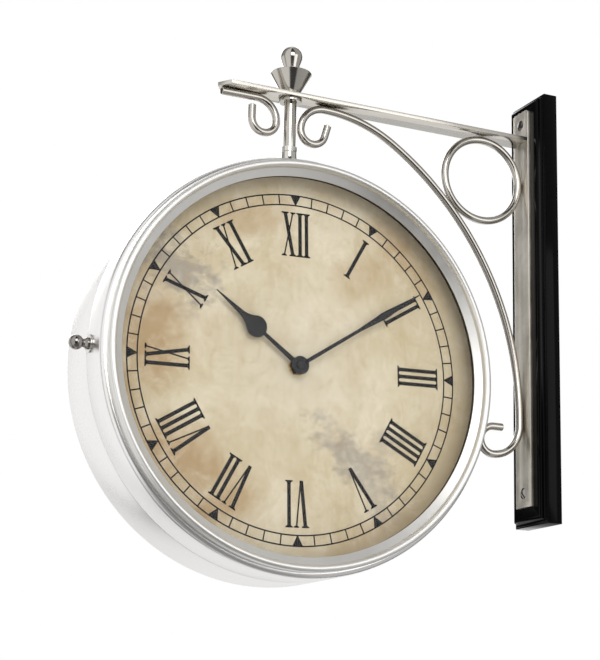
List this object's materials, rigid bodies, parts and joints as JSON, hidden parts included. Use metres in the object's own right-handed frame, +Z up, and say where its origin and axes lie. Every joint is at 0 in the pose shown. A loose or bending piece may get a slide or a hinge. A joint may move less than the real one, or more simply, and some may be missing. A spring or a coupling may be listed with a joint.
{
  "type": "double sided station clock",
  "caption": "Round double faced station clock that hangs from a scrolled wall bracket on a swivel pipe, with an opening front cover and quartz movements.",
  "frame": {"origin": "middle of the backboard's wall face", "axes": "+X out of the board's back, into the wall; +Z up; the front dial looks along -Y"},
  "size_m": [0.3911, 0.094, 0.4081],
  "materials": {
    "polished_nickel": "polished",
    "satin_nickel": "satin",
    "zinc_plate": "satin",
    "black_gloss": "gloss lacquer",
    "dial_paper": "matte print",
    "hand_black": "satin paint",
    "brass": "satin",
    "clear_glass": "clear",
    "black_rubber": "matte",
    "black_plastic": "matte",
    "white_plastic": "matte",
    "battery_sleeve": "gloss"
  },
  "bodies": {
    "bracket": {"backboard": "black_gloss", "hanger_plates": "zinc_plate", "hanger_plate_screws": "zinc_plate", "wall_strap": "satin_nickel", "strap_screws": "satin_nickel", "bracket_arm": "satin_nickel", "end_scroll": "polished_nickel", "brace_scroll": "polished_nickel", "bracket_ring": "polished_nickel"},
    "case": {"rear_shell": "polished_nickel", "joint_band": "zinc_plate", "hinge_leaf_rear": "polished_nickel", "hinge_pin": "polished_nickel", "hinge_rivets_rear": "polished_nickel", "latch_nut": "zinc_plate", "hanger_pipe": "polished_nickel", "hanger_rod": "zinc_plate", "arm_flange": "polished_nickel", "cup": "polished_nickel", "finial": "polished_nickel", "base_collar": "polished_nickel", "lock_washer": "zinc_plate", "lock_nut": "zinc_plate", "rear_bezel": "polished_nickel", "rear_glass": "clear_glass", "rear_glass_gasket": "black_rubber", "rear_dial": "dial_paper", "rear_dial_tabs": "zinc_plate", "rear_dial_screws": "zinc_plate", "rear_movement_case": "black_plastic", "rear_battery": "battery_sleeve", "rear_shaft_nut": "brass"},
    "cover": {"front_shell": "polished_nickel", "hinge_leaf_front": "polished_nickel", "hinge_rivets_front": "polished_nickel", "front_bezel": "polished_nickel", "front_glass": "clear_glass", "front_glass_gasket": "black_rubber", "front_dial": "dial_paper", "front_dial_tabs": "zinc_plate", "front_dial_screws": "zinc_plate", "front_movement_case": "black_plastic", "front_battery": "battery_sleeve", "front_shaft_nut": "brass"},
    "latch_washer": {"latch_washer": "polished_nickel"},
    "latch_screw": {"latch_screw": "polished_nickel"},
    "front_minute": {"front_minute_hand": "hand_black", "front_minute_shaft": "brass", "front_hand_cap": "hand_black"},
    "front_hour": {"front_hour_hand": "hand_black", "front_hour_tube": "white_plastic"},
    "front_knob": {"front_set_knob": "white_plastic"},
    "rear_minute": {"rear_minute_hand": "hand_black", "rear_minute_shaft": "brass", "rear_hand_cap": "hand_black"},
    "rear_hour": {"rear_hour_hand": "hand_black", "rear_hour_tube": "white_plastic"},
    "rear_knob": {"rear_set_knob": "white_plastic"}
  },
  "joints": [
    {"name": "case_swivel", "type": "hinge", "parent": "bracket", "child": "case", "pos_m": [-0.2235, 0, 0.137], "axis": [0, 0, -1], "range_deg": [-12, 90]},
    {"name": "cover_hinge", "type": "hinge", "parent": "case", "child": "cover", "pos_m": [-0.0677, -0.008, -0.077], "axis": [0, 0, 1], "range_deg": [0, 90]},
    {"name": "latch_travel", "type": "slide", "parent": "cover", "child": "latch_washer", "axis": [-1, 0, 0], "range_m": [0, 0.0065]},
    {"name": "latch_turn", "type": "hinge", "parent": "latch_washer", "child": "latch_screw", "pos_m": [-0.3835, -0.015, -0.077], "axis": [-1, 0, 0], "range_deg": [0, 2925]},
    {"name": "front_minute_turn", "type": "hinge", "parent": "cover", "child": "front_minute", "pos_m": [-0.2235, -0.023, -0.077], "axis": [0, 1, 0], "continuous": true},
    {"name": "front_hour_turn", "type": "hinge", "parent": "cover", "child": "front_hour", "pos_m": [-0.2235, -0.023, -0.077], "axis": [0, 1, 0], "continuous": true},
    {"name": "front_knob_turn", "type": "hinge", "parent": "cover", "child": "front_knob", "pos_m": [-0.2135, -0.023, -0.065], "axis": [0, 1, 0], "continuous": true},
    {"name": "rear_minute_turn", "type": "hinge", "parent": "case", "child": "rear_minute", "pos_m": [-0.2235, 0.023, -0.077], "axis": [0, -1, 0], "continuous": true},
    {"name": "rear_hour_turn", "type": "hinge", "parent": "case", "child": "rear_hour", "pos_m": [-0.2235, 0.023, -0.077], "axis": [0, -1, 0], "continuous": true},
    {"name": "rear_knob_turn", "type": "hinge", "parent": "case", "child": "rear_knob", "pos_m": [-0.2335, 0.023, -0.065], "axis": [0, -1, 0], "continuous": true}
  ],
  "couplings": [
    {"joint": "latch_turn", "follows": "latch_travel", "rad_per_m": 7854},
    {"joint": "front_hour_turn", "follows": "front_minute_turn", "ratio": 0.083333},
    {"joint": "front_knob_turn", "follows": "front_minute_turn", "ratio": -3},
    {"joint": "rear_hour_turn", "follows": "rear_minute_turn", "ratio": 0.083333},
    {"joint": "rear_knob_turn", "follows": "rear_minute_turn", "ratio": -3}
  ]
}
